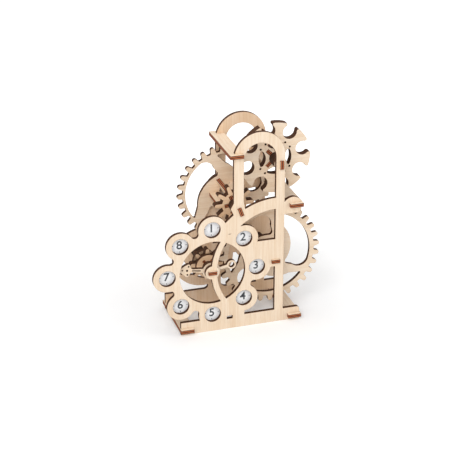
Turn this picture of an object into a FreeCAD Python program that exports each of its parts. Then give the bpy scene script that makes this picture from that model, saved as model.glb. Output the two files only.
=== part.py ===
import FreeCAD, Part
import math
import os
import Sketcher

# A desk toy cut from 4 mm plywood: a flywheel is flicked, a train of wooden gears turns, and a hand
# stops at one of eight medallions. X is to the right, Y goes from the front plate to the back plate,
# Z is up. The origin is on the table, in the middle of the toy's box.

VALUES = {
    # sheet goods and fits
    "ply": 4.0,
    "disc_board": 1.5,
    "lap_play": 0.1,
    "slot_play": 0.1,
    "peg_play": 0.05,
    "bore_play": 0.06,
    "end_play": 0.5,
    "gap_layers": 14,
    # flower dial
    "dial_height": 67.2,
    "lobe_count": 8,
    "lobe_pitch_radius": 48.0,
    "lobe_radius": 15.0,
    "medallion_hole_radius": 8.75,
    "medallion_radius": 11.5,
    "dial_opening_radius": 35.0,
    "dial_hub_radius": 7.6,
    "dial_bar_width": 6.0,
    "dial_bar_bow": 60.0,
    "dial_bar_shift": 1.8,
    # post with the arch, from the axles that stand in it
    "post_left_reach": 7.1,
    "post_right_reach": 3.7,
    "left_leg_width": 10.5,
    "right_leg_width": 9.5,
    "arch_top": 148.3,
    "arch_band": 11.6,
    "arc_bar_outer": 71.5,
    "arc_bar_inner": 59.0,
    "band_top": 28.8,
    "band_bottom": -2.5,
    "left_boss_radius": 18.5,
    "right_boss_radius": 27.5,
    "wing_radius": 33.5,
    "wing_left": 13.3,
    "wing_right": 27.5,
    # base bar and ear
    "base_height": 14.0,
    "back_base_height": 17.8,
    "foot_left": -34.4,
    "foot_right": 95.6,
    "ear_reach": 18.4,
    "ear_top": 73.8,
    "ear_bottom": 55.5,
    # planks
    "plank_reach": 4.5,
    "plank_width": 14.2,
    "top_plank_left": 17.8,
    "top_plank_under": 123.6,
    "right_plank_left": 82.4,
    "right_plank_under": 63.2,
    "low_right_left": 82.2,
    "low_left_left": -35.4,
    "low_plank_under": -64.0,
    # gear train
    "gear_module": 3.5,
    "mesh_play": 0.15,
    "right_teeth": 31,
    "left_teeth": 28,
    "small_star_teeth": 8,
    "big_star_teeth": 10,
    "wheel_tooth_root": 2.9,
    "wheel_tooth_tip": 2.4,
    "wheel_tooth_rise": 1.75,
    "wheel_tooth_fillet": 1.1,
    "star_tooth_root": 2.2,
    "star_tooth_tip": 2.0,
    "star_tooth_rise": 3.5,
    "star_tooth_fillet": 0.0,
    "line_hand_right": 3.0,
    "line_right_left": 122.3,
    "line_left_fly": 46.5,
    "right_phase": 4.6,
    "left_phase": 1.4,
    "right_rim": 4.8,
    "left_rim": 2.6,
    "window_count": 3,
    "right_window_tip": 84.0,
    "left_window_tip": 76.0,
    "right_window_turn": 0.0,
    "left_window_turn": 145.0,
    # axles, pins, spacers
    "axle_width": 9.6,
    "tenon_width": 8.8,
    "tenon_reach": 2.0,
    "tail_reach": 4.4,
    "pin_width": 3.0,
    "pin_thick": 2.4,
    "pin_length": 16.0,
    "spacer_radius": 6.6,
    # discs, pegs and strips of the turning stacks
    "flange_radius": 12.6,
    "hub_radius": 13.6,
    "peg_count": 5,
    "peg_circle": 7.2,
    "peg_thick": 2.4,
    "peg_width": 3.0,
    "peg_turn": 54.0,
    "strip_count": 6,
    "strip_circle": 10.0,
    "strip_thick": 3.4,
    "strip_width": 5.0,
    "strip_turn": 1.0,
    "vane_inner": 5.6,
    "vane_outer": 16.0,
    "vane_tenon_inner": 6.0,
    "vane_tenon_outer": 10.4,
    "vane_count": 5,
    "vane_turn": 114.5,
    # flywheel
    "fly_radius": 38.0,
    "fly_lobes": 8,
    "fly_opening": 17.5,
    "fly_notch_circle": 30.6,
    "fly_notch_radius": 7.5,
    "fly_mouth": 12.6,
    "fly_corner": 3.0,
    "fly_phase": 59.5,
    "fly_arms": 4,
    "fly_arm_turn": 134.5,
    "fly_arm_half": 16.0,
    "fly_hub_radius": 10.0,
    "fly_eye_circle": 18.9,
    "fly_eye_radius": 1.1,
    "fly_eye_turn": 11.0,
    "fly_vane_outer": 12.4,
    "fly_tenon_inner": 5.8,
    "fly_tenon_outer": 8.3,
    # hand
    "hand_reach": 35.8,
    "hand_turn": 171.0,
    "hand_hub_radius": 9.6,
    "hand_spacer_radius": 6.0,
    "hand_ring_circle": 22.2,
    "hand_ring_radius": 5.0,
    "hand_ring_hole": 3.1,
}

doc = FreeCAD.newDocument("StrengthTester")
sheet = doc.addObject("Spreadsheet::Sheet", "sheet")
for row, (alias, value) in enumerate(VALUES.items(), start=1):
    sheet.set(f"A{row}", alias)
    sheet.set(f"B{row}", str(value))
    sheet.setAlias(f"B{row}", alias)
doc.recompute()
V = {alias: float(sheet.get(alias)) for alias in VALUES}
Y_AXIS = FreeCAD.Vector(0, 1, 0)
NORMAL = FreeCAD.Vector(0, 0, 1)


# Places in the plane of the plates
def polar(radius, degrees):
    """A point of the X-Z plane, its angle counted from +X towards +Z."""
    turn = math.radians(degrees)
    return radius * math.cos(turn), radius * math.sin(turn)


def shifted(point, dx, dz):
    return point[0] + dx, point[1] + dz


def mesh_distance(teeth_a, teeth_b):
    return V["gear_module"] * (V[teeth_a] + V[teeth_b]) / 2 + V["mesh_play"]


HAND_AT = (0.0, 0.0)
RIGHT_AT = polar(mesh_distance("small_star_teeth", "right_teeth"), V["line_hand_right"])
LEFT_AT = shifted(polar(mesh_distance("right_teeth", "big_star_teeth"), V["line_right_left"]), *RIGHT_AT)
FLY_AT = shifted(polar(mesh_distance("left_teeth", "small_star_teeth"), V["line_left_fly"]), *LEFT_AT)
AXLES = {"hand": HAND_AT, "right": RIGHT_AT, "left": LEFT_AT, "flywheel": FLY_AT}
# The flat axles stand in slots that are turned about their own middle.
SLOT_TURN = {"hand": 0.0, "right": 0.0, "left": -70.0, "flywheel": 90.0}

GROUND = -V["dial_height"]
POST_LEFT = LEFT_AT[0] - V["post_left_reach"]
POST_RIGHT = FLY_AT[0] + V["post_right_reach"]
INNER_LEFT = POST_LEFT + V["left_leg_width"]
INNER_RIGHT = POST_RIGHT - V["right_leg_width"]


# Depths behind the face of the front plate
INNER_FACE = V["ply"]
BACK_FACE = INNER_FACE + V["gap_layers"] * V["ply"] + 2 * V["end_play"]
DEPTH = BACK_FACE + V["ply"]


def layer(index):
    """Front of a turning layer, 0 being the one right behind the front plate."""
    return INNER_FACE + V["end_play"] + index * V["ply"]


LAST_LAYER = int(V["gap_layers"]) - 1
FLY_LAYER = 4
LEFT_STACK_LAYER = 4
RIGHT_GEAR_LAYER = 4
HAND_STACK_END = 6


def right_end():
    """How far the right gear's teeth reach to the right of the dial's axle."""
    pitch = 360.0 / V["right_teeth"]
    nearest = (V["right_phase"] + pitch / 2) % pitch - pitch / 2
    tip = V["wheel_tooth_tip"]
    outer = V["gear_module"] * V["right_teeth"] / 2 + V["wheel_tooth_rise"]
    return RIGHT_AT[0] + polar(outer - tip, nearest)[0] + tip


MIDDLE = (right_end() - V["lobe_pitch_radius"] - V["lobe_radius"]) / 2


def place(shape_object, at, y, turn=0.0):
    """at is measured from the dial's axle, turn is counterclockwise seen from the front."""
    base = FreeCAD.Vector(at[0] - MIDDLE, y - DEPTH / 2, at[1] + V["dial_height"])
    shape_object.Placement = FreeCAD.Placement(base, FreeCAD.Rotation(Y_AXIS, -turn))


# Sketches, pads, pockets and patterns
def make_body(label, at=(0.0, 0.0), y=0.0, turn=0.0):
    body = doc.addObject("PartDesign::Body", label)
    body.Label = label
    place(body, at, y, turn)
    return body


def origin_feature(body, role):
    return next(f for f in body.Origin.OriginFeatures if f.Role == role)


def sketch_on(body, name, geometry, plane="XZ_Plane"):
    sketch = body.newObject("Sketcher::SketchObject", body.Label + "_" + name + "_sketch")
    sketch.AttachmentSupport = [(origin_feature(body, plane), "")]
    sketch.MapMode = "FlatFace"
    sketch.addGeometry(geometry, False)
    return sketch


def circle(body, name, radius, at=(0.0, 0.0)):
    """A circle whose radius is bound to the sheet."""
    middle = FreeCAD.Vector(at[0], at[1], 0)
    sketch = sketch_on(body, name, [Part.Circle(middle, NORMAL, 1.0)])
    number = sketch.addConstraint(Sketcher.Constraint("Radius", 0, 1.0))
    sketch.setExpression(f"Constraints[{number}]", radius)
    return sketch


def pad(body, name, sketch, length="sheet.ply"):
    feature = body.newObject("PartDesign::Pad", body.Label + "_" + name)
    feature.Profile = sketch
    feature.setExpression("Length", length)
    feature.Reversed = True
    body.Tip = feature
    return feature


def pocket(body, name, sketch):
    feature = body.newObject("PartDesign::Pocket", body.Label + "_" + name)
    feature.Profile = sketch
    feature.Type = "ThroughAll"
    feature.Midplane = True
    body.Tip = feature
    return feature


def repeat(body, feature, count):
    pattern = body.newObject("PartDesign::PolarPattern", feature.Name + "_round")
    pattern.Originals = [feature]
    pattern.Axis = (origin_feature(body, "Y_Axis"), [""])
    pattern.Angle = 360
    pattern.setExpression("Occurrences", f"sheet.{count}")
    body.Tip = pattern
    return pattern


# Profiles
def outline(start, *steps):
    """A closed profile: a step is a point for a line, or a pair of points for an arc through them."""
    geometry = []
    here = start
    for step in steps + (start,):
        if isinstance(step[0], tuple):
            middle, end = step
            geometry.append(Part.Arc(*[FreeCAD.Vector(p[0], p[1], 0) for p in (here, middle, end)]))
        else:
            end = step
            if math.dist(here, end) > 1e-6:
                geometry.append(Part.LineSegment(*[FreeCAD.Vector(p[0], p[1], 0) for p in (here, end)]))
        here = end
    return geometry


def rectangle(left, right, bottom, top):
    return outline((left, bottom), (right, bottom), (right, top), (left, top))


def bar_profile(length, thick, degrees, at=(0.0, 0.0)):
    """A rectangle of that length along the direction given by degrees."""
    corners = []
    for along, across in ((-1, -1), (1, -1), (1, 1), (-1, 1)):
        x, z = along * length / 2, across * thick / 2
        cos, sin = polar(1.0, degrees)
        corners.append(shifted(at, x * cos - z * sin, x * sin + z * cos))
    return outline(*corners)


def ring_sector(centre, inner, outer, first, last):
    middle = (first + last) / 2

    def at(radius, degrees):
        return shifted(polar(radius, degrees), *centre)

    return outline(at(outer, first), (at(outer, middle), at(outer, last)), at(inner, last),
                   (at(inner, middle), at(inner, first)))


# Both plates
PLANKS = {
    "top_plank": (V["top_plank_left"], V["top_plank_under"], "left",
                  (POST_LEFT + V["top_plank_left"] + V["plank_width"]) / 2),
    "right_plank": (V["right_plank_left"], V["right_plank_under"], "right",
                    (V["right_plank_left"] + POST_RIGHT + V["ear_reach"]) / 2),
    "bottom_right_plank": (V["low_right_left"], V["low_plank_under"], "right",
                           (V["low_right_left"] + V["foot_right"]) / 2),
    "bottom_left_plank": (V["low_left_left"], V["low_plank_under"], "left",
                          (V["foot_left"] + V["low_left_left"] + V["plank_width"]) / 2),
}


def cut_axle_slots(body):
    length = V["tenon_width"] + V["slot_play"]
    thick = V["ply"] + V["slot_play"]
    for name, at in AXLES.items():
        pocket(body, name + "_slot", sketch_on(body, name + "_slot", bar_profile(length, thick,
                                                                               SLOT_TURN[name], at)))


def cut_plank_laps(body):
    play = V["lap_play"]
    beyond = 2 * V["plank_width"]
    for name, (left, under, side, meet) in PLANKS.items():
        first, last = (meet - beyond, meet + play) if side == "left" else (meet - play, meet + beyond)
        lap = rectangle(first, last, under, under + V["ply"] + play)
        pocket(body, name + "_lap", sketch_on(body, name + "_lap", lap))


def pad_post(body, left_leg_foot, base_height):
    """Two legs under a round arch, the bar round the right gear, the base bar and the ear."""
    half = (POST_RIGHT - POST_LEFT) / 2
    middle = POST_LEFT + half
    spring = V["arch_top"] - half
    inner_half = (INNER_RIGHT - INNER_LEFT) / 2
    inner_middle = INNER_LEFT + inner_half
    inner_top = V["arch_top"] - V["arch_band"]
    inner_spring = inner_top - inner_half
    arc_bar = ring_sector(RIGHT_AT, V["arc_bar_inner"], V["arc_bar_outer"], 87.0, 138.0)
    pad(body, "arc_bar", sketch_on(body, "arc_bar", arc_bar))
    post = outline((POST_RIGHT, GROUND), (POST_RIGHT, spring),
                   ((middle, V["arch_top"]), (POST_LEFT, spring)),
                   (POST_LEFT, left_leg_foot), (INNER_LEFT, left_leg_foot), (INNER_LEFT, inner_spring),
                   ((inner_middle, inner_top), (INNER_RIGHT, inner_spring)), (INNER_RIGHT, GROUND))
    pad(body, "post", sketch_on(body, "post", post))
    base_top = GROUND + base_height
    round_off = 3.0
    right = V["foot_right"]
    base = outline((V["foot_left"], GROUND), (right, GROUND), (right, base_top - round_off),
                   ((right - 0.9, base_top - 0.9), (right - round_off, base_top)),
                   (V["foot_left"], base_top))
    pad(body, "base", sketch_on(body, "base", base))
    ear_right = POST_RIGHT + V["ear_reach"]
    ear = outline((POST_RIGHT - 1.0, V["ear_bottom"]), (ear_right - 3.0, V["ear_bottom"]),
                  (ear_right, V["ear_bottom"] + 3.0), (ear_right, V["right_plank_under"] + V["ply"] + 0.6),
                  ((ear_right - 4.0, V["ear_top"] - 1.6), (POST_RIGHT + V["ear_reach"] / 2, V["ear_top"])),
                  ((POST_RIGHT + 3.5, V["ear_top"] - 1.6), (POST_RIGHT - 1.0, V["ear_top"] - 6.0)))
    pad(body, "ear", sketch_on(body, "ear", ear))


def add_front_plate():
    body = make_body("front_plate")
    pitch = 360.0 / V["lobe_count"]
    lobe_at = (V["lobe_pitch_radius"], 0.0)
    valley_at = polar(V["lobe_pitch_radius"] + 0.5, pitch / 2)
    valley_radius = math.dist(lobe_at, valley_at) - V["lobe_radius"] + 0.05
    pad(body, "disc", circle(body, "disc", "sheet.lobe_pitch_radius"))
    repeat(body, pad(body, "lobe", circle(body, "lobe", "sheet.lobe_radius", lobe_at)), "lobe_count")
    valley = circle(body, "valley", str(valley_radius), valley_at)
    repeat(body, pocket(body, "valley", valley), "lobe_count")
    neck = outline((8.0, V["lobe_pitch_radius"] - 6.0), (12.6, V["lobe_pitch_radius"] + 5.1),
                   shifted(LEFT_AT, -7.3, -2.6), shifted(LEFT_AT, -10.5, 4.0),
                   (POST_LEFT, LEFT_AT[1] + 10.4), (INNER_LEFT, LEFT_AT[1] + 10.4),
                   shifted(LEFT_AT, 6.0, -2.4), shifted(LEFT_AT, 0.1, -14.4), (24.0, 41.0))
    pad(body, "neck", sketch_on(body, "neck", neck))
    base_top = GROUND + V["base_height"]
    chin = rectangle(-14.0, 34.5, base_top - 1.0, -38.6)
    pad(body, "chin", sketch_on(body, "chin", chin))
    band = rectangle(38.0, INNER_RIGHT + 1.0, V["band_bottom"], V["band_top"])
    pad(body, "band", sketch_on(body, "band", band))
    pad_post(body, LEFT_AT[1] + 4.0, V["base_height"])
    pocket(body, "opening", circle(body, "opening", "sheet.dial_opening_radius"))
    bow = V["dial_bar_bow"]
    half = V["dial_bar_width"] / 2
    reach = math.degrees(math.asin((V["dial_opening_radius"] + 1.0) / bow))
    bar = ring_sector((bow + V["dial_bar_shift"], 0.0), bow - half, bow + half, 180.0 - reach, 180.0 + reach)
    pad(body, "dial_bar", sketch_on(body, "dial_bar", bar))
    pad(body, "dial_hub", circle(body, "dial_hub", "sheet.dial_hub_radius"))
    hole = circle(body, "medallion_hole", "sheet.medallion_hole_radius", lobe_at)
    repeat(body, pocket(body, "medallion_hole", hole), "lobe_count")
    spare = rectangle(15.2, 21.6, base_top - 2.8, base_top + 0.8)
    pocket(body, "spare_slot", sketch_on(body, "spare_slot", spare))
    cut_axle_slots(body)
    cut_plank_laps(body)


def add_back_plate():
    body = make_body("back_plate", y=BACK_FACE)
    base_top = GROUND + V["back_base_height"]
    pad(body, "wing", circle(body, "wing", "sheet.wing_radius", (8.0, -11.0)))
    window = outline((-20.0, -7.0), (-13.0, -10.0), ((-11.4, -16.5), (-7.7, -20.6)),
                     ((1.0, -26.5), (11.0, -32.5)), ((11.4, -35.0), (9.4, -36.0)),
                     ((3.1, -34.4), (-2.0, -31.0)), (-17.0, -28.4), ((-20.4, -18.0), (-20.0, -7.0)))
    pocket(body, "wing_window", sketch_on(body, "wing_window", window))
    left, right = V["wing_left"], V["wing_right"]
    column = outline((left - 5.0, base_top - 1.0), (right + 6.0, base_top - 1.0), (right + 6.0, base_top),
                     ((right + 1.8, base_top + 1.8), (right, base_top + 6.0)),
                     (right, -14.0), (left, -14.0), (left, base_top + 4.0),
                     ((left - 1.2, base_top + 1.2), (left - 4.0, base_top)), (left - 5.0, base_top))
    pad(body, "column", sketch_on(body, "column", column))
    pad(body, "left_boss", circle(body, "left_boss", "sheet.left_boss_radius", LEFT_AT))
    pad(body, "right_boss", circle(body, "right_boss", "sheet.right_boss_radius", RIGHT_AT))
    cheek = rectangle(POST_RIGHT - 1.0, POST_RIGHT + 6.0, RIGHT_AT[1], V["band_top"] + 10.0)
    pad(body, "cheek", sketch_on(body, "cheek", cheek))
    neck = outline((4.0, 16.0), (46.0, 16.0), shifted(LEFT_AT, 8.0, -10.0), shifted(LEFT_AT, -14.0, -9.0),
                   (4.6, 46.0), (4.6, 40.0))
    pad(body, "neck", sketch_on(body, "neck", neck))
    band = rectangle(20.0, INNER_RIGHT + 1.0, V["band_bottom"] - 8.0, V["band_top"])
    pad(body, "band", sketch_on(body, "band", band))
    pad_post(body, LEFT_AT[1], V["back_base_height"])
    peep = rectangle(18.7, 26.0, 3.6, 12.0)
    pocket(body, "peep", sketch_on(body, "peep", peep))
    cut_axle_slots(body)
    cut_plank_laps(body)


def add_planks():
    """Each plank runs through both plates; its notches take the part of the plates that is left."""
    length = DEPTH + 2 * V["plank_reach"]
    play = V["lap_play"]
    for name, (left, under, side, meet) in PLANKS.items():
        plank = Part.makeBox(V["plank_width"], length, V["ply"])
        for face in (0.0, BACK_FACE):
            start = V["plank_reach"] + face - play
            notch = Part.makeBox(2 * V["plank_width"], V["ply"] + 2 * play, 3 * V["ply"])
            first = meet - left if side == "left" else meet - left - 2 * V["plank_width"]
            notch.translate(FreeCAD.Vector(first, start, -V["ply"]))
            plank = plank.cut(notch)
        feature = doc.addObject("Part::Feature", name)
        feature.Label = name
        feature.Shape = plank
        place(feature, (left, under), -V["plank_reach"])


def add_medallions():
    for number in range(int(V["lobe_count"])):
        label = f"medallion_{number + 1}"
        at = polar(V["lobe_pitch_radius"], 90.0 - number * 360.0 / V["lobe_count"])
        body = make_body(label, at, INNER_FACE)
        pad(body, "disc", circle(body, "disc", "sheet.medallion_radius"), "sheet.disc_board")


# Axles with their pins and spacers
def axle_section(play=0.0):
    radius = V["axle_width"] / 2 + play
    half = V["ply"] / 2 + play
    edge = math.sqrt(radius ** 2 - half ** 2)
    return outline((-edge, -half), (edge, -half), ((radius, 0.0), (edge, half)), (-edge, half),
                   ((-radius, 0.0), (-edge, -half)))


def add_axles():
    pins = []
    for name, at in AXLES.items():
        label = name + "_axle"
        body = make_body(label, at, -V["tenon_reach"], SLOT_TURN[name])
        tenon = bar_profile(V["tenon_width"], V["ply"], 0.0)
        pad(body, "tenon", sketch_on(body, "tenon", tenon),
            f"sheet.tenon_reach + {DEPTH} + sheet.tail_reach")
        middle = sketch_on(body, "middle", axle_section())
        middle.AttachmentOffset = FreeCAD.Placement(
            FreeCAD.Vector(0, 0, -V["tenon_reach"] - INNER_FACE), FreeCAD.Rotation())
        pad(body, "middle", middle, str(BACK_FACE - INNER_FACE))
        start = V["tenon_reach"] + DEPTH
        play = V["peg_play"]
        hole = rectangle(-V["pin_width"] / 2 - play, V["pin_width"] / 2 + play, start - play,
                         start + V["pin_thick"] + play)
        pocket(body, "pin_hole", sketch_on(body, "pin_hole", hole, "XY_Plane"))
        pin = Part.makeBox(V["pin_width"], V["pin_thick"], V["pin_length"])
        pin.translate(FreeCAD.Vector(-V["pin_width"] / 2, DEPTH, -V["pin_length"] / 2))
        pin.rotate(FreeCAD.Vector(0, 0, 0), Y_AXIS, -SLOT_TURN[name])
        pin.translate(FreeCAD.Vector(at[0], 0, at[1]))
        pins.append(pin)
    feature = doc.addObject("Part::Feature", "axle_pins")
    feature.Label = "axle_pins"
    feature.Shape = Part.makeCompound(pins)
    place(feature, (0.0, 0.0), 0.0)


def profile_solid(geometry, y, length):
    """A straight solid of any profile, for shapes that are cut away from others."""
    wire = Part.Wire([edge.toShape() for edge in geometry])
    solid = Part.Face(wire).extrude(FreeCAD.Vector(0, 0, length))
    solid.rotate(FreeCAD.Vector(0, 0, 0), FreeCAD.Vector(1, 0, 0), 90)
    solid.translate(FreeCAD.Vector(0, y + length, 0))
    return solid


def add_spacers(name, front_count, rear_count):
    """Rings with a hole as flat as the axle, so they stay put on it."""
    rings = []
    hole = profile_solid(axle_section(V["peg_play"]), -1.0, DEPTH)
    starts = [INNER_FACE + index * V["ply"] for index in range(front_count)]
    starts += [BACK_FACE - (index + 1) * V["ply"] for index in range(rear_count)]
    for start in starts:
        ring = Part.makeCylinder(V["spacer_radius"], V["ply"], FreeCAD.Vector(0, start, 0), Y_AXIS)
        rings.append(ring.cut(hole))
    label = name + "_axle_spacers"
    feature = doc.addObject("Part::Feature", label)
    feature.Label = label
    feature.Shape = Part.makeCompound(rings)
    place(feature, AXLES[name], 0.0, SLOT_TURN[name])


# Toothed wheels and the discs beside them
BORE = "sheet.axle_width / 2 + sheet.bore_play"


def tooth(teeth, kind):
    """One tooth with straight flanks, a round tip and rounded corners at its foot, along +X."""
    root_half = V[kind + "_tooth_root"]
    tip_half = V[kind + "_tooth_tip"]
    fillet = V[kind + "_tooth_fillet"]
    outer = V["gear_module"] * teeth / 2 + V[kind + "_tooth_rise"]
    root = V["gear_module"] * (teeth / 2 - 1.25)
    inside = root - V["gear_module"] / 2
    shoulder = outer - tip_half
    tip = ((outer, 0.0), (shoulder, tip_half))
    if not fillet:
        return outline((inside, -root_half), (root, -root_half), (shoulder, -tip_half), tip,
                       (root, root_half), (inside, root_half))
    foot = root - 0.2
    foot_half = root_half + fillet
    bend = (foot + fillet * (1 - math.sqrt(0.5)), foot_half - fillet * math.sqrt(0.5))
    return outline((inside, -foot_half), (foot, -foot_half),
                   ((bend[0], -bend[1]), (foot + fillet, -root_half)), (shoulder, -tip_half), tip,
                   (foot + fillet, root_half), (bend, (foot, foot_half)), (inside, foot_half))


def toothed_body(label, at, index, teeth, kind, turn):
    body = make_body(label, at, layer(index), turn)
    root = f"sheet.gear_module * (sheet.{teeth} / 2 - 1.25)"
    pad(body, "disc", circle(body, "disc", root))
    shape = tooth(V[teeth], kind)
    repeat(body, pad(body, "tooth", sketch_on(body, "tooth", shape)), teeth)
    pocket(body, "bore", circle(body, "bore", BORE))
    return body


def cut_peg_holes(body, kind, turn):
    """Holes for the pegs or strips that hold the layers of one stack together."""
    at = polar(V[kind + "_circle"], turn)
    play = 2 * V["peg_play"]
    hole = bar_profile(V[kind + "_thick"] + play, V[kind + "_width"] + play, turn, at)
    repeat(body, pocket(body, "peg_hole", sketch_on(body, "peg_hole", hole)), kind + "_count")


def plain_disc(label, at, index, radius, kind, turn):
    body = make_body(label, at, layer(index))
    pad(body, "disc", circle(body, "disc", "sheet." + radius))
    pocket(body, "bore", circle(body, "bore", BORE))
    cut_peg_holes(body, kind, turn)


def add_pegs(label, at, kind, first, last, turn):
    """Straight pegs along the axle, from the front of one layer to the back of another."""
    length = layer(last) + V["ply"] - layer(first)
    number = int(V[kind + "_count"])
    middle = V[kind + "_circle"]
    solids = []
    for index in range(number):
        peg = Part.makeBox(V[kind + "_thick"], length, V[kind + "_width"])
        peg.translate(FreeCAD.Vector(middle - V[kind + "_thick"] / 2, 0, -V[kind + "_width"] / 2))
        peg.rotate(FreeCAD.Vector(0, 0, 0), Y_AXIS, -turn - index * 360.0 / number)
        solids.append(peg)
    feature = doc.addObject("Part::Feature", label)
    feature.Label = label
    feature.Shape = Part.makeCompound(solids)
    place(feature, at, layer(first))


def cut_windows(body, rim, turn, tip):
    """Comma shaped windows, wide at the clockwise end, their sharp end at the angle tip."""
    def at(share, degrees):
        return polar(rim * share, degrees + turn)

    window = outline(at(1.0, tip - 3.0), (at(1.0, tip / 2 - 10.0), at(1.0, -18.0)),
                     (at(0.895, -29.0), at(0.694, -33.0)),
                     at(0.56, -37.0), (at(0.49, -36.0), at(0.465, -27.0)),
                     (at(0.604, 33.0), at(0.76, tip - 14.0)), at(0.95, tip - 2.6),
                     (at(0.985, tip - 1.7), at(1.0, tip - 3.0)))
    repeat(body, pocket(body, "window", sketch_on(body, "window", window)), "window_count")


def star_phase(line, wheel_teeth, wheel_phase, star_teeth):
    """Angle of a star's tooth in mesh with a wheel; line points from the wheel to the star."""
    ratio = wheel_teeth / star_teeth
    return line + 180.0 + 180.0 / star_teeth - (wheel_phase - line) * ratio


HAND_STAR_TURN = star_phase(V["line_hand_right"] + 180.0, V["right_teeth"], V["right_phase"],
                            V["small_star_teeth"])
LEFT_STAR_TURN = star_phase(V["line_right_left"], V["right_teeth"], V["right_phase"], V["big_star_teeth"])
FLY_STAR_TURN = star_phase(V["line_left_fly"], V["left_teeth"], V["left_phase"], V["small_star_teeth"])


def root_radius(teeth):
    return V["gear_module"] * (V[teeth] / 2 - 1.25)


def add_right_gear():
    gear = toothed_body("right_gear", RIGHT_AT, RIGHT_GEAR_LAYER, "right_teeth", "wheel", V["right_phase"])
    turn = V["strip_turn"]
    cut_windows(gear, root_radius("right_teeth") - V["right_rim"], V["right_window_turn"] - V["right_phase"],
                V["right_window_tip"])
    cut_peg_holes(gear, "strip", turn - V["right_phase"])
    plain_disc("right_hub_front", RIGHT_AT, RIGHT_GEAR_LAYER - 1, "hub_radius", "strip", turn)
    plain_disc("right_hub_rear", RIGHT_AT, RIGHT_GEAR_LAYER + 1, "hub_radius", "strip", turn)
    add_pegs("right_gear_pegs", RIGHT_AT, "strip", RIGHT_GEAR_LAYER - 1, RIGHT_GEAR_LAYER + 1, turn)


def vane_profile(first, last):
    half = V["ply"] / 2
    return rectangle(first, last, -half, half)


def vane_solid(inner, outer, front, back):
    """A flat bar along the axle, its inner and outer edge measured from the axle."""
    return profile_solid(vane_profile(inner, outer), front, back - front)


def add_vanes(label, at, front, steps, turn, count):
    """Radial bars between the layers of a stack; steps are (inner, outer, first layer, last layer)."""
    bars = []
    for index in range(int(V[count])):
        parts = [vane_solid(inner, outer, layer(first) - layer(front), layer(last) + V["ply"] - layer(front))
                 for inner, outer, first, last in steps]
        bar = parts[0].fuse(parts[1:]).removeSplitter()
        bar.rotate(FreeCAD.Vector(0, 0, 0), Y_AXIS, -turn - index * 360.0 / V[count])
        bars.append(bar)
    feature = doc.addObject("Part::Feature", label)
    feature.Label = label
    feature.Shape = Part.makeCompound(bars)
    place(feature, at, layer(front))


def cut_vane_holes(body, inner, outer, turn, count):
    """Slots for the tenons of the radial bars."""
    play = V["peg_play"]
    length = outer - inner + 2 * play
    hole = bar_profile(length, V["ply"] + 2 * play, turn, polar((inner + outer) / 2, turn))
    repeat(body, pocket(body, "vane_hole", sketch_on(body, "vane_hole", hole)), count)


def add_left_gear():
    turn = V["vane_turn"]
    start = LEFT_STACK_LAYER
    inner, outer = V["vane_tenon_inner"], V["vane_tenon_outer"]
    gear = toothed_body("left_gear", LEFT_AT, LAST_LAYER, "left_teeth", "wheel", V["left_phase"])
    cut_windows(gear, root_radius("left_teeth") - V["left_rim"], V["left_window_turn"] - V["left_phase"],
                V["left_window_tip"])
    cut_vane_holes(gear, inner, outer, turn - V["left_phase"], "vane_count")
    for step, label in enumerate(("left_star_front", "left_star_rear")):
        star = toothed_body(label, LEFT_AT, start + step, "big_star_teeth", "star", LEFT_STAR_TURN)
        cut_vane_holes(star, inner, outer, turn - LEFT_STAR_TURN, "vane_count")
    bar = (V["vane_inner"], V["vane_outer"], start + 2, LAST_LAYER - 1)
    tenons = (inner, outer, start, LAST_LAYER)
    add_vanes("left_gear_vanes", LEFT_AT, start, (bar, tenons), turn, "vane_count")


def add_fly_plate(label, index):
    """A round plate with eight deep notches, four arms and a small hub."""
    body = make_body(label, FLY_AT, layer(index), V["fly_phase"])
    rim = V["fly_radius"]
    circle_at = V["fly_notch_circle"]
    half = V["fly_mouth"] / 2
    corner = V["fly_corner"]
    beyond = rim + corner
    swing = corner * (1 - math.sqrt(0.5))
    pad(body, "disc", circle(body, "disc", "sheet.fly_radius"))
    notch = circle(body, "notch", "sheet.fly_notch_radius", (circle_at, 0.0))
    repeat(body, pocket(body, "notch", notch), "fly_lobes")
    mouth = outline((circle_at + 1.0, -half), (rim - corner, -half),
                    ((rim - swing, -half - swing), (rim, -half - corner)), (beyond, -half - corner),
                    (beyond, half + corner), (rim, half + corner),
                    ((rim - swing, half + swing), (rim - corner, half)), (circle_at + 1.0, half))
    repeat(body, pocket(body, "mouth", sketch_on(body, "mouth", mouth)), "fly_lobes")
    middle = V["fly_arm_turn"] - V["fly_phase"] + 180.0 / V["fly_arms"]
    side = 180.0 / V["fly_arms"] - V["fly_arm_half"]
    opening = V["fly_opening"]

    def at(radius, degrees):
        return polar(radius, middle + degrees)

    window = outline(at(opening, -side), (at(opening, 0.0), at(opening, side)),
                     (at(opening - 3.0, side + 1.0), at(opening - 4.5, side - 3.0)),
                     (at(V["fly_hub_radius"], 0.0), at(opening - 4.5, 3.0 - side)),
                     (at(opening - 3.0, -side - 1.0), at(opening, -side)))
    repeat(body, pocket(body, "window", sketch_on(body, "window", window)), "fly_arms")
    for side_name, turn in (("left", 1.0), ("right", -1.0)):
        spot = polar(V["fly_eye_circle"], V["fly_arm_turn"] - V["fly_phase"] + turn * V["fly_eye_turn"])
        eye = circle(body, "eye_" + side_name, "sheet.fly_eye_radius", spot)
        repeat(body, pocket(body, "eye_" + side_name, eye), "fly_arms")
    pocket(body, "bore", circle(body, "bore", BORE))
    turn = V["fly_arm_turn"] - V["fly_phase"]
    cut_vane_holes(body, V["vane_inner"], V["fly_vane_outer"], turn, "fly_arms")


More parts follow.
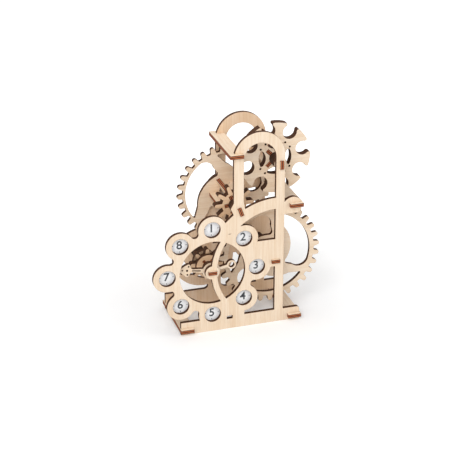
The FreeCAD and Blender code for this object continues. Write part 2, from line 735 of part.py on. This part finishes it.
def add_flywheel():
    turn = V["fly_arm_turn"]
    inner, outer = V["fly_tenon_inner"], V["fly_tenon_outer"]
    rear = LAST_LAYER - 2
    for step, label in enumerate(("flywheel_front", "flywheel_rear")):
        add_fly_plate(label, FLY_LAYER + step)
    flange = make_body("flywheel_flange", FLY_AT, layer(rear))
    pad(flange, "disc", circle(flange, "disc", "sheet.flange_radius"))
    pocket(flange, "bore", circle(flange, "bore", BORE))
    cut_vane_holes(flange, inner, outer, turn, "fly_arms")
    for step, label in enumerate(("flywheel_star_front", "flywheel_star_rear"), start=1):
        star = toothed_body(label, FLY_AT, rear + step, "small_star_teeth", "star", FLY_STAR_TURN)
        cut_vane_holes(star, inner, outer, turn - FLY_STAR_TURN, "fly_arms")
    bar = (V["vane_inner"], V["fly_vane_outer"], FLY_LAYER, rear - 1)
    tenon = (inner, outer, rear - 1, LAST_LAYER)
    add_vanes("flywheel_vanes", FLY_AT, FLY_LAYER, (bar, tenon), turn, "fly_arms")


def add_hand():
    """The hand points along its own +X; the ring on the other side balances it."""
    body = make_body("hand", HAND_AT, layer(0), V["hand_turn"])
    tip = V["hand_reach"]
    pad(body, "hub", circle(body, "hub", "sheet.hand_hub_radius"))
    arm = outline((6.0, -2.6), (tip - 13.0, -1.6), (tip - 13.0, 1.6), (6.0, 2.6))
    pad(body, "arm", sketch_on(body, "arm", arm))
    head = outline((tip, 0.0), ((tip - 4.4, 3.6), (tip - 8.6, 6.6)), ((tip - 10.8, 7.0), (tip - 12.6, 4.8)),
                   ((tip - 13.8, 2.8), (tip - 16.5, 1.4)), (tip - 16.5, -1.4),
                   ((tip - 13.8, -2.8), (tip - 12.6, -4.8)), ((tip - 10.8, -7.0), (tip - 8.6, -6.6)),
                   ((tip - 4.4, -3.6), (tip, 0.0)))
    pad(body, "head", sketch_on(body, "head", head))
    tail_turn = 200.0
    tail = bar_profile(12.0, 3.2, tail_turn, polar(13.0, tail_turn))
    pad(body, "tail", sketch_on(body, "tail", tail))
    ring_at = polar(V["hand_ring_circle"], tail_turn)
    pad(body, "ring", circle(body, "ring", "sheet.hand_ring_radius", ring_at))
    pocket(body, "ring_hole", circle(body, "ring_hole", "sheet.hand_ring_hole", ring_at))
    eyes = ((tip - 4.4, 0.0, 0.8), (tip - 9.6, 0.0, 1.1), (tip - 10.6, 4.6, 0.9), (tip - 10.6, -4.6, 0.9))
    for number, (along, across, radius) in enumerate(eyes):
        pocket(body, f"eye_{number}", circle(body, f"eye_{number}", str(radius), (along, across)))
    slot = rectangle(11.5, tip - 15.0, -0.6, 0.6)
    pocket(body, "slot", sketch_on(body, "slot", slot))
    pocket(body, "bore", circle(body, "bore", BORE))
    turn = V["peg_turn"]
    cut_long_peg_holes(body, turn - V["hand_turn"])
    for index in (1, 2):
        spacer = make_body(f"hand_spacer_{index}", HAND_AT, layer(index))
        pad(spacer, "disc", circle(spacer, "disc", "sheet.hand_spacer_radius"))
        pocket(spacer, "bore", circle(spacer, "bore", BORE))
    flange = HAND_STACK_END - 3
    plain_disc("hand_flange_front", HAND_AT, flange, "flange_radius", "peg", turn)
    for step, label in enumerate(("hand_star_front", "hand_star_rear"), start=1):
        star = toothed_body(label, HAND_AT, flange + step, "small_star_teeth", "star", HAND_STAR_TURN)
        cut_peg_holes(star, "peg", turn - HAND_STAR_TURN)
    plain_disc("hand_flange_rear", HAND_AT, HAND_STACK_END, "flange_radius", "peg", turn)
    add_hand_pegs(flange)


LONG_PEGS = (3, 4)


def cut_long_peg_holes(body, turn):
    """The hand is carried by two of the five pegs, which reach forward to it."""
    play = 2 * V["peg_play"]
    for number in LONG_PEGS:
        degrees = turn + number * 360.0 / V["peg_count"]
        hole = bar_profile(V["peg_thick"] + play, V["peg_width"] + play, degrees,
                           polar(V["peg_circle"], degrees))
        pocket(body, f"peg_hole_{number}", sketch_on(body, f"peg_hole_{number}", hole))


def add_hand_pegs(flange):
    """Five pegs through the flanges and stars, two of them long enough to hold the hand."""
    pegs = []
    end = layer(HAND_STACK_END) + V["ply"] - layer(0)
    for number in range(int(V["peg_count"])):
        start = 0.0 if number in LONG_PEGS else layer(flange) - layer(0)
        peg = Part.makeBox(V["peg_thick"], end - start, V["peg_width"])
        peg.translate(FreeCAD.Vector(V["peg_circle"] - V["peg_thick"] / 2, start, -V["peg_width"] / 2))
        peg.rotate(FreeCAD.Vector(0, 0, 0), Y_AXIS, -V["peg_turn"] - number * 360.0 / V["peg_count"])
        pegs.append(peg)
    feature = doc.addObject("Part::Feature", "hand_pegs")
    feature.Label = "hand_pegs"
    feature.Shape = Part.makeCompound(pegs)
    place(feature, HAND_AT, layer(0))


add_front_plate()
add_back_plate()
add_planks()
add_medallions()
add_axles()
add_spacers("hand", 0, LAST_LAYER - HAND_STACK_END)
add_spacers("right", RIGHT_GEAR_LAYER - 1, LAST_LAYER - RIGHT_GEAR_LAYER - 1)
add_spacers("left", LEFT_STACK_LAYER, 0)
add_spacers("flywheel", FLY_LAYER, 0)
add_hand()
add_right_gear()
add_left_gear()
add_flywheel()
doc.recompute()

os.makedirs("parts", exist_ok=True)
for item in doc.Objects:
    if "Invalid" in item.State or "Error" in item.State:
        raise RuntimeError(f"{item.Label} did not rebuild: {item.State}")
nodes = [item for item in doc.Objects
         if item.TypeId == "PartDesign::Body" or item.TypeId == "Part::Feature"]
for item in nodes:
    if item.Shape.isNull() or not item.Shape.isValid():
        raise RuntimeError(f"{item.Label} has no valid shape")
    item.Shape.exportStep(f"parts/{item.Label}.step")
print(len(nodes), "parts written")
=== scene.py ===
import math

import bpy
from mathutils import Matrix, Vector


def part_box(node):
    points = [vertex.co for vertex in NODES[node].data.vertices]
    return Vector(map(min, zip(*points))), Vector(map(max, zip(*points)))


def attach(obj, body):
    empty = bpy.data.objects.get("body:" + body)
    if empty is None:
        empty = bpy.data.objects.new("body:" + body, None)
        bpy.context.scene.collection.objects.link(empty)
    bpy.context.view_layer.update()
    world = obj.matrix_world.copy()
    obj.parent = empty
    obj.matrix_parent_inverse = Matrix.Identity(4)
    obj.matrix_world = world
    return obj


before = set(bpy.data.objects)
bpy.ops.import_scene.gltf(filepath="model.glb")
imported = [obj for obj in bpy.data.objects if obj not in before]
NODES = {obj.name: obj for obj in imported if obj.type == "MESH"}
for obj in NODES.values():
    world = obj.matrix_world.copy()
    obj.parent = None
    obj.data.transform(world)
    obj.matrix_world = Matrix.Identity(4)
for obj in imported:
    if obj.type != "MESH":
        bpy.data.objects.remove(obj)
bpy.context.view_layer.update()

MM = 0.001
X, Y, Z = 0, 1, 2
SHEET = 4.0


def srgb(code):
    """Linear colour of a hex sRGB code, with alpha."""
    def channel(pair):
        value = int(pair, 16) / 255
        return value / 12.92 if value <= 0.04045 else ((value + 0.055) / 1.055) ** 2.4

    return tuple(channel(code[i:i + 2]) for i in (1, 3, 5)) + (1.0,)


def add(tree, kind, values=None, stops=None, **settings):
    """A shader node with its settings, its socket values or links, and the stops of a ramp."""
    node = tree.nodes.new("ShaderNode" + kind)
    for key, value in settings.items():
        setattr(node, key, value)
    for socket, value in (values or {}).items():
        if isinstance(value, bpy.types.NodeSocket):
            tree.links.new(value, node.inputs[socket])
        else:
            node.inputs[socket].default_value = value
    if stops:
        ramp = node.color_ramp
        while len(ramp.elements) < len(stops):
            ramp.elements.new(1.0)
        for element, (position, code) in zip(ramp.elements, stops):
            element.position = position
            element.color = srgb(code)
    return node


def new_material(name):
    """A material with its node tree and its shader."""
    material = bpy.data.materials.new(name)
    material.use_nodes = True
    return material, material.node_tree, material.node_tree.nodes["Principled BSDF"]


def grain(tree, place, sizes, detail, **values):
    """Noise around one half; sizes are the width, depth and height of its grains in mm."""
    space = add(tree, "Mapping", {"Vector": place, "Scale": [1 / (size * MM) for size in sizes]})
    noise = add(tree, "TexNoise", {"Vector": space.outputs[0], "Scale": 1.0, "Detail": detail, **values})
    return noise.outputs["Fac"]


def mix(tree, share, under, over):
    """A colour, with a share of another one laid over it."""
    return add(tree, "Mix", {"Factor": share, "A": under, "B": over}, data_type="RGBA").outputs["Result"]


def along_grain(across, along, grain_axis):
    """Grain sizes in mm that are longer along the board's grain."""
    sizes = [across, across, across]
    sizes[grain_axis] = along
    return sizes


def seen_by_the_eye(tree):
    """1 for what the camera sees straight, in a gloss or through glass, and 0 for what only lights."""
    rays = add(tree, "LightPath").outputs
    near = add(tree, "Math", {0: rays["Is Camera Ray"], 1: rays["Is Glossy Ray"]}, operation="MAXIMUM")
    seen = add(tree, "Math", {0: near.outputs[0], 1: rays["Is Transmission Ray"]}, operation="MAXIMUM")
    return seen.outputs[0]


def sheet_of(tree, place, normal, across, start):
    """Depth through a flat sheet as a share of its thickness, and how squarely a surface faces it."""
    depth = add(tree, "VectorMath", {0: place, 1: across}, operation="DOT_PRODUCT")
    facing = add(tree, "VectorMath", {0: normal, 1: across}, operation="DOT_PRODUCT")
    share = add(tree, "MapRange", {"Value": depth.outputs["Value"], "From Min": start * MM,
                                   "From Max": (start + SHEET) * MM})
    return share.outputs[0], facing.outputs["Value"]


def sheet_of_fan(tree, place, normal, axle, turn, count):
    """The same for bars that stand round an axle like the vanes of a fan, each facing sideways."""
    axis = (axle[0] * MM, 0.0, axle[1] * MM)
    away = add(tree, "VectorMath", {0: place, 1: axis}, operation="SUBTRACT")
    part = add(tree, "SeparateXYZ", {"Vector": away.outputs[0]})
    angle = add(tree, "Math", {0: part.outputs[Z], 1: part.outputs[X]}, operation="ARCTAN2")
    half = math.pi / count
    from_bar = add(tree, "Math", {0: angle.outputs[0], 1: math.radians(turn)}, operation="SUBTRACT")
    off = add(tree, "Math", {0: from_bar.outputs[0], 1: half, 2: -half}, operation="WRAP")
    reach = add(tree, "VectorMath", {0: away.outputs[0], 1: (1.0, 0.0, 1.0)}, operation="MULTIPLY")
    radius = add(tree, "VectorMath", {0: reach.outputs[0]}, operation="LENGTH")
    sine = add(tree, "Math", {0: off.outputs[0]}, operation="SINE")
    aside = add(tree, "Math", {0: sine.outputs[0], 1: radius.outputs["Value"]}, operation="MULTIPLY")
    share = add(tree, "MapRange", {"Value": aside.outputs[0], "From Min": -SHEET / 2 * MM,
                                   "From Max": SHEET / 2 * MM})
    bar = add(tree, "Math", {0: angle.outputs[0], 1: off.outputs[0]}, operation="SUBTRACT")
    turned = {"Vector": normal, "Axis": (0.0, 1.0, 0.0), "Angle": bar.outputs[0]}
    back = add(tree, "VectorRotate", turned, rotation_type="AXIS_ANGLE")
    split = add(tree, "SeparateXYZ", {"Vector": back.outputs[0]})
    return share.outputs[0], split.outputs[Z]


# Face colours of the boards, from the dark streaks to the pale ones. The pale set is the birch itself.
# The warmer, more orange sets are painted shade: they stand in for the warm shade on the pieces inside
# the toy
PALE = ("#E2C6A6", "#E9D1B5", "#EFDAC1", "#F3E2CE")
PAINTED_SHADE_WARM = ("#E2BD96", "#EAC6A1", "#F0CFAC", "#F4D8BA")
PAINTED_SHADE_MELLOW = ("#E3C19F", "#EACBA9", "#F0D4B7", "#F4DDC5")
FACE_STOPS = (0.30, 0.44, 0.54, 0.70)
PORE_BROWN, BURN_BROWN, SOOT_BROWN = "#D3A27C", "#A8703F", "#2C180A"
# Early and late wood, wide bands, and pores: their width and length in mm. Pores are hair thin and
# are drawn half a millimetre wide so that they show at all.
STREAK, BAND, PORE = (1.9, 42.0), (15.0, 95.0), (0.5, 5.0)
STREAK_SHARE, BAND_SHARE, PORE_SHARE = 0.55, 0.45, 0.32
# Soot on a cut edge: the size of its clouds in mm, and how much of it lies there
SOOT_GRAIN = (1.1, 1.1, 1.1)
FRESH_SOOT, BURNT_SOOT = 0.1, 0.5
# The burn beside an edge: its reach in mm, and how much of the face's colour it takes over
BURN_REACH, BURN_SHARE = 0.55, 0.7
# A surface belongs to a face of the sheet above the first of these cosines, and to an edge below
# the second.
FACE_COSINE, EDGE_COSINE = 0.75, 0.6
FACE_ROUGHNESS, EDGE_ROUGHNESS = 0.58, 0.82
# The plies and glue lines of a cut edge, as shares of the thickness. The dark lines of a fresh end
# are 0.3 mm thick and are drawn up to 1 mm thick so that they show at all.
FRESH_PLIES = ((0.0, "#2C0F06"), (0.12, "#33120A"), (0.18, "#BC6C44"), (0.34, "#C8764C"),
               (0.38, "#260C05"), (0.60, "#260C05"), (0.64, "#C8764C"), (0.80, "#B8683F"),
               (0.86, "#33120A"), (1.0, "#2C0F06"))
BURNT_PLIES = ((0.0, "#38200F"), (0.10, "#603A20"), (0.30, "#5C361B"), (0.345, "#2A1608"),
               (0.39, "#4A2B15"), (0.61, "#452712"), (0.655, "#281507"), (0.70, "#5C361B"),
               (0.90, "#603A20"), (1.0, "#38200F"))


def sanded_face(tree, place, grain_axis, board):
    """Colour and relief of a birch face: soft streaks in wide bands, and fine pores."""
    streaks = grain(tree, place, along_grain(*STREAK, grain_axis), 4.0, Roughness=0.6, Distortion=0.35)
    bands = grain(tree, place, along_grain(*BAND, grain_axis), 2.0)
    both = add(tree, "Math", {0: streaks, 1: STREAK_SHARE}, operation="MULTIPLY")
    tone = add(tree, "Math", {0: bands, 1: BAND_SHARE, 2: both.outputs[0]}, operation="MULTIPLY_ADD")
    wood = add(tree, "ValToRGB", {"Fac": tone.outputs[0]}, stops=tuple(zip(FACE_STOPS, board)))
    pores = grain(tree, place, along_grain(*PORE, grain_axis), 1.0)
    pore = add(tree, "MapRange", {"Value": pores, "From Min": 0.62, "From Max": 0.74,
                                  "To Max": PORE_SHARE})
    colour = mix(tree, pore.outputs[0], wood.outputs[0], srgb(PORE_BROWN))
    relief = add(tree, "Math", {0: streaks, 1: pore.outputs[0]}, operation="SUBTRACT")
    return colour, relief.outputs[0]


def scorched_edge(tree, place, depth, fresh):
    """Colour of a laser cut edge: plies and glue lines through the sheet, under clouds of soot."""
    plies = add(tree, "ValToRGB", {"Fac": depth}, stops=FRESH_PLIES if fresh else BURNT_PLIES)
    clouds = grain(tree, place, SOOT_GRAIN, 3.0)
    soot = add(tree, "MapRange", {"Value": clouds, "From Min": 0.3, "From Max": 0.7,
                                  "To Max": FRESH_SOOT if fresh else BURNT_SOOT})
    return mix(tree, soot.outputs[0], plies.outputs[0], srgb(SOOT_BROWN))


def birch_plywood(name, grain_axis, sheet, *shape, fresh=False, board=PALE):
    """Three-ply birch, 4 mm thick, sanded faces and laser cut edges.

    The faces are pale and silky with soft streaks along the grain. The cut edges are scorched to a
    dark brown, darker in the glue lines, and the burn fades over a few tenths of a millimetre of
    face. Fresh cut ends are a lighter red brown, so that their plies can be counted.
    """
    material, tree, shader = new_material(name)
    coordinates = add(tree, "TexCoord")
    place = coordinates.outputs["Object"]
    depth, squarely = sheet(tree, place, coordinates.outputs["Normal"], *shape)
    face, relief = sanded_face(tree, place, grain_axis, board)
    edge = scorched_edge(tree, place, depth, fresh)

    # Face or cut edge, by the direction that the surface looks in within its own piece
    broad = add(tree, "Math", {0: squarely}, operation="ABSOLUTE")
    is_edge = add(tree, "MapRange", {"Value": broad.outputs[0], "From Min": FACE_COSINE,
                                     "From Max": EDGE_COSINE})
    rounded = add(tree, "Bevel", {"Radius": BURN_REACH * MM}, samples=6)
    flat = add(tree, "NewGeometry")
    turned = add(tree, "VectorMath", {0: rounded.outputs[0], 1: flat.outputs["True Normal"]},
                 operation="DOT_PRODUCT")
    burn = add(tree, "MapRange", {"Value": turned.outputs["Value"], "From Min": 0.999, "From Max": 0.86,
                                  "To Max": BURN_SHARE})
    burnt_face = mix(tree, burn.outputs[0], face, srgb(BURN_BROWN))
    colour = mix(tree, is_edge.outputs[0], burnt_face, edge)
    rough = add(tree, "MapRange", {"Value": is_edge.outputs[0], "To Min": FACE_ROUGHNESS,
                                   "To Max": EDGE_ROUGHNESS})
    bump = add(tree, "Bump", {"Height": relief, "Strength": 0.35, "Distance": 0.06 * MM,
                              "Normal": rounded.outputs[0]})
    tree.links.new(colour, shader.inputs["Base Color"])
    tree.links.new(rough.outputs[0], shader.inputs["Roughness"])
    tree.links.new(bump.outputs[0], shader.inputs["Normal"])
    shader.inputs["IOR"].default_value = 1.45
    shader.inputs["Specular IOR Level"].default_value = 0.35
    return material


# The medallions' board, in mm: its faint clouds and the grit of its coat, and the blotches of the ink
CLOUD, GRIT, BLOTCH = (4.0, 4.0, 4.0), (0.4, 0.4, 0.4), (1.2, 1.2, 1.2)


def coated_board(name):
    """Bright white card board under a thin satin coat: clean and smooth, with a faint cloudiness."""
    material, tree, shader = new_material(name)
    place = add(tree, "TexCoord").outputs["Object"]
    tone = add(tree, "ValToRGB", {"Fac": grain(tree, place, CLOUD, 3.0)},
               stops=((0.35, "#F7F8F9"), (0.5, "#FAFAFB"), (0.65, "#FCFCFC")))
    tree.links.new(tone.outputs[0], shader.inputs["Base Color"])
    bump = add(tree, "Bump", {"Height": grain(tree, place, GRIT, 2.0), "Strength": 0.1,
                              "Distance": 0.01 * MM})
    tree.links.new(bump.outputs[0], shader.inputs["Normal"])
    shader.inputs["Roughness"].default_value = 0.38
    return material


def grey_ink(name):
    """Screen ink on a coated board: nearly flat, a little uneven where it was laid down thin."""
    material, tree, shader = new_material(name)
    place = add(tree, "TexCoord").outputs["Object"]
    tone = add(tree, "ValToRGB", {"Fac": grain(tree, place, BLOTCH, 2.0)},
               stops=((0.3, "#2B2E33"), (0.7, "#4B4F55")))
    tree.links.new(tone.outputs[0], shader.inputs["Base Color"])
    shader.inputs["Roughness"].default_value = 0.5
    return material


# The direction through a sheet that stands like the plates, or lies like a plank
FLAT = {Y: (0.0, 1.0, 0.0), Z: (0.0, 0.0, 1.0)}
LEFT_AXLE_TILT = math.radians(20)
MADE = {}


def middle_of(node_name):
    """The middle of a node's box, in mm."""
    low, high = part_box(node_name)
    return [(a + b) / 2 / MM for a, b in zip(low, high)]


def dress(node_name, key, grain_axis, sheet, *shape, fresh=False, board=PALE):
    """Gives a node its plywood; nodes cut from the same sheet share a material."""
    if key not in MADE:
        MADE[key] = birch_plywood(key, grain_axis, sheet, *shape, fresh=fresh, board=board)
    slots = NODES[node_name].data.materials
    slots.clear()
    slots.append(MADE[key])


def dress_flat(node_name, across, grain_axis, fresh=False, board=PALE):
    """Plywood for one flat sheet, which starts half its thickness before the middle of the piece."""
    start = sum(a * b for a, b in zip(middle_of(node_name), across)) - SHEET / 2
    way = "_".join(str(round(10 * share)) for share in across)
    # The warm and mellow boards are painted shade for the pieces inside the toy, not a different birch
    kind = {PALE: "birch", PAINTED_SHADE_WARM: "warm_birch", PAINTED_SHADE_MELLOW: "mellow_birch"}[board]
    key = "{}_{}_{}_{}".format(kind, way, grain_axis, round(start, 1)).replace("-", "m")
    dress(node_name, key, grain_axis, sheet_of, across, start, fresh=fresh, board=board)


WHITE_BOARD = coated_board("coated_board")
PLANKS = ("top_plank", "right_plank", "bottom_right_plank", "bottom_left_plank")
AXLES = {"hand_axle": FLAT[Z], "right_axle": FLAT[Z], "flywheel_axle": (1.0, 0.0, 0.0),
         "left_axle": (math.cos(LEFT_AXLE_TILT), 0.0, math.sin(LEFT_AXLE_TILT))}
# Pegs and vanes: the axle that they stand round, the turn of the first in degrees, and how many
FANS = {"hand_pegs": ("hand_axle", 54.0, 5), "right_gear_pegs": ("right_axle", 1.0, 6),
        "left_gear_vanes": ("left_axle", 114.5, 5), "flywheel_vanes": ("flywheel_axle", 134.5, 4)}
# The tones of the flat pieces. The back plate and the small pieces that aren't named here get a warmer
# board colour, which is painted shade standing in for the warm shade inside the toy
TONES = {"front_plate": PALE, "hand": PALE, "right_gear": PALE, "left_gear": PALE,
         "flywheel_front": PALE, "flywheel_rear": PALE, "back_plate": PAINTED_SHADE_MELLOW}
for name, node in NODES.items():
    if name.startswith("medallion"):
        node.data.materials.clear()
        node.data.materials.append(WHITE_BOARD)
    elif name in PLANKS:
        dress_flat(name, FLAT[Z], Y, fresh=True)
    elif name in AXLES:
        dress_flat(name, AXLES[name], Y, fresh=True)
    elif name in FANS:
        axle, turn, count = FANS[name]
        centre = middle_of(axle)
        dress(name, "birch_" + name, Y, sheet_of_fan, (centre[X], centre[Z]), turn, count, fresh=True)
    elif name == "axle_pins":
        dress(name, "birch_pins", Z, sheet_of, FLAT[Y], middle_of(name)[Y] - SHEET / 2)
    elif name.endswith("spacers"):
        dress(name, "birch_" + name, X, sheet_of, FLAT[Y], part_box(name)[0][Y] / MM)
    else:
        # The warmer board that these pieces get by default is painted shade, standing in for the warm
        # shade inside the toy
        dress_flat(name, FLAT[Y], Z if name.endswith("plate") else X, board=TONES.get(name, PAINTED_SHADE_WARM))

# The printed medallions: each has four quarter marks and its own number, as on a clock. Sizes in mm.
INK = grey_ink("grey_ink")
INK_DEPTH = 0.12
MARKS = 4
MARK_END, MARK_LENGTH, MARK_WIDTH = 8.0, 1.7, 0.5
NUMERAL_SIZE, NUMERAL_WEIGHT = 12.5, 0.2
MEDALLIONS = 8


def print_on(piece, name, place):
    """Sets a thin ink shape just in front of a medallion, with its place in its mesh."""
    piece.name = name
    piece.data.name = name
    piece.location = place
    bpy.ops.object.select_all(action="DESELECT")
    piece.select_set(True)
    bpy.context.view_layer.objects.active = piece
    bpy.ops.object.transform_apply(location=True, rotation=True, scale=True)
    piece.data.materials.clear()
    piece.data.materials.append(INK)
    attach(piece, "frame")


def quarter_marks():
    """Four strokes near the edge of a medallion: one stroke, spun round by quarter turns."""
    bpy.ops.object.select_all(action="DESELECT")
    reach = (MARK_END - MARK_LENGTH / 2) * MM
    bpy.ops.mesh.primitive_cube_add(size=1.0, location=(reach, 0, 0))
    piece = bpy.context.object
    bpy.ops.object.transform_apply(location=True)
    bpy.ops.object.mode_set(mode="EDIT")
    bpy.ops.mesh.select_all(action="SELECT")
    bpy.ops.transform.resize(value=(MARK_LENGTH * MM, INK_DEPTH * MM, MARK_WIDTH * MM),
                             center_override=(reach, 0, 0))
    bpy.ops.mesh.spin(steps=MARKS - 1, dupli=True, angle=math.radians(360 / MARKS * (MARKS - 1)),
                      center=(0, 0, 0), axis=(0, 1, 0))
    bpy.ops.mesh.select_all(action="SELECT")
    bpy.ops.mesh.normals_make_consistent(inside=False)
    bpy.ops.object.mode_set(mode="OBJECT")
    return piece


def numeral(figure):
    """A figure as a thin solid, upright at the origin and facing -Y."""
    bpy.ops.object.select_all(action="DESELECT")
    bpy.ops.object.text_add(rotation=(math.pi / 2, 0, 0))
    text = bpy.context.object
    text.data.body = figure
    text.data.size = NUMERAL_SIZE * MM
    text.data.align_x = "CENTER"
    text.data.align_y = "CENTER"
    text.data.extrude = INK_DEPTH / 2 * MM
    text.data.offset = NUMERAL_WEIGHT * MM
    bpy.ops.object.convert(target="MESH")
    return bpy.context.object


plain_marks = quarter_marks()
for number in range(1, MEDALLIONS + 1):
    disc = middle_of("medallion_{}".format(number))
    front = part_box("medallion_{}".format(number))[0][Y]
    place = (disc[X] * MM, front - INK_DEPTH / 2 * MM, disc[Z] * MM)
    marks = plain_marks.copy()
    marks.data = plain_marks.data.copy()
    bpy.context.scene.collection.objects.link(marks)
    print_on(marks, "dial_ticks_{}".format(number), place)
    print_on(numeral(str(number)), "numeral_{}".format(number), place)
bpy.data.objects.remove(plain_marks)

# Floor: a lit table top. It is white for the camera away from the toy, where no lamp reaches, keeps a
# soft shadow around the base, and lights nothing else. Its glow for the camera is weaker near the toy,
# which paints a grey shade around the base on top of the lit shadow. Its size and the radii between
# which its glow grows are in metres.
FLOOR_SIZE = 8
GLOW_STARTS, GLOW_FULL = 0.10, 0.34
# The weaker glow near the toy is painted shade on the floor around the base
GLOW_NEAR, GLOW_FAR = 0.12, 0.5
bpy.ops.object.select_all(action="DESELECT")
bpy.ops.mesh.primitive_plane_add(size=FLOOR_SIZE)
floor = bpy.context.object
floor.name = "floor"
floor_paint, tree, shader = new_material("white_floor")
shader.inputs["Base Color"].default_value = srgb("#F4F4F4")
shader.inputs["Roughness"].default_value = 0.9
shader.inputs["Specular IOR Level"].default_value = 0.1
spot = add(tree, "TexCoord")
away = add(tree, "VectorMath", {0: spot.outputs["Object"]}, operation="LENGTH")
glow_with_painted_shade = add(tree, "MapRange", {"Value": away.outputs["Value"], "From Min": GLOW_STARTS,
                              "From Max": GLOW_FULL, "To Min": GLOW_NEAR, "To Max": GLOW_FAR},
           interpolation_type="SMOOTHSTEP")
glow = add(tree, "Math", {0: seen_by_the_eye(tree), 1: glow_with_painted_shade.outputs[0]}, operation="MULTIPLY")
shader.inputs["Emission Color"].default_value = srgb("#FFFFFF")
tree.links.new(glow.outputs[0], shader.inputs["Emission Strength"])
floor.data.materials.append(floor_paint)

# A white room that is seen brighter than it lights
ROOM_LIGHT, ROOM_SEEN = 0.55, 1.0
scene = bpy.context.scene
world = bpy.data.worlds.new("studio")
scene.world = world
world.use_nodes = True
tree = world.node_tree
lit = tree.nodes["Background"]
lit.inputs["Color"].default_value = srgb("#FFFFFF")
lit.inputs["Strength"].default_value = ROOM_LIGHT
shown = add(tree, "Background", {"Color": srgb("#FFFFFF"), "Strength": ROOM_SEEN})
either = add(tree, "MixShader", {0: seen_by_the_eye(tree), 1: lit.outputs[0], 2: shown.outputs[0]})
tree.links.new(either.outputs[0], tree.nodes["World Output"].inputs[0])

# Soft boxes that look at the toy: place and size in metres, and watts
LIT_SPOT = Vector((0, 0, 0.1))
LAMPS = (
    ("key", (-0.55, -0.85, 0.95), 0.7, 7.6),
    ("fill", (0.9, -0.6, 0.6), 0.9, 2.4),
    ("top", (0.0, 0.1, 1.3), 1.0, 3.2),
)
for name, at, size, watts in LAMPS:
    light = bpy.data.lights.new(name, "AREA")
    light.size = size
    light.energy = watts
    lamp = bpy.data.objects.new(name, light)
    scene.collection.objects.link(lamp)
    lamp.location = at
    lamp.rotation_euler = (LIT_SPOT - lamp.location).to_track_quat("-Z", "Y").to_euler()

# The photograph was taken from the left and above, from about a metre and a half.
AZIMUTH, ELEVATION, DISTANCE = -17.6, 24.6, 1.452
LENS, SENSOR = 110.04, 36
TARGET = Vector((-4.1, -4.5, 100.8)) * MM
side, rise = math.radians(AZIMUTH), math.radians(ELEVATION)
camera = bpy.data.cameras.new("camera")
camera.lens = LENS
camera.sensor_width = SENSOR
camera.clip_start = 0.05
eye = bpy.data.objects.new("camera", camera)
scene.collection.objects.link(eye)
eye.location = TARGET + DISTANCE * Vector((math.sin(side) * math.cos(rise),
                                          -math.cos(side) * math.cos(rise), math.sin(rise)))
eye.rotation_euler = (TARGET - eye.location).to_track_quat("-Z", "Y").to_euler()
scene.camera = eye
scene.view_settings.view_transform = "Standard"

bpy.context.view_layer.update()
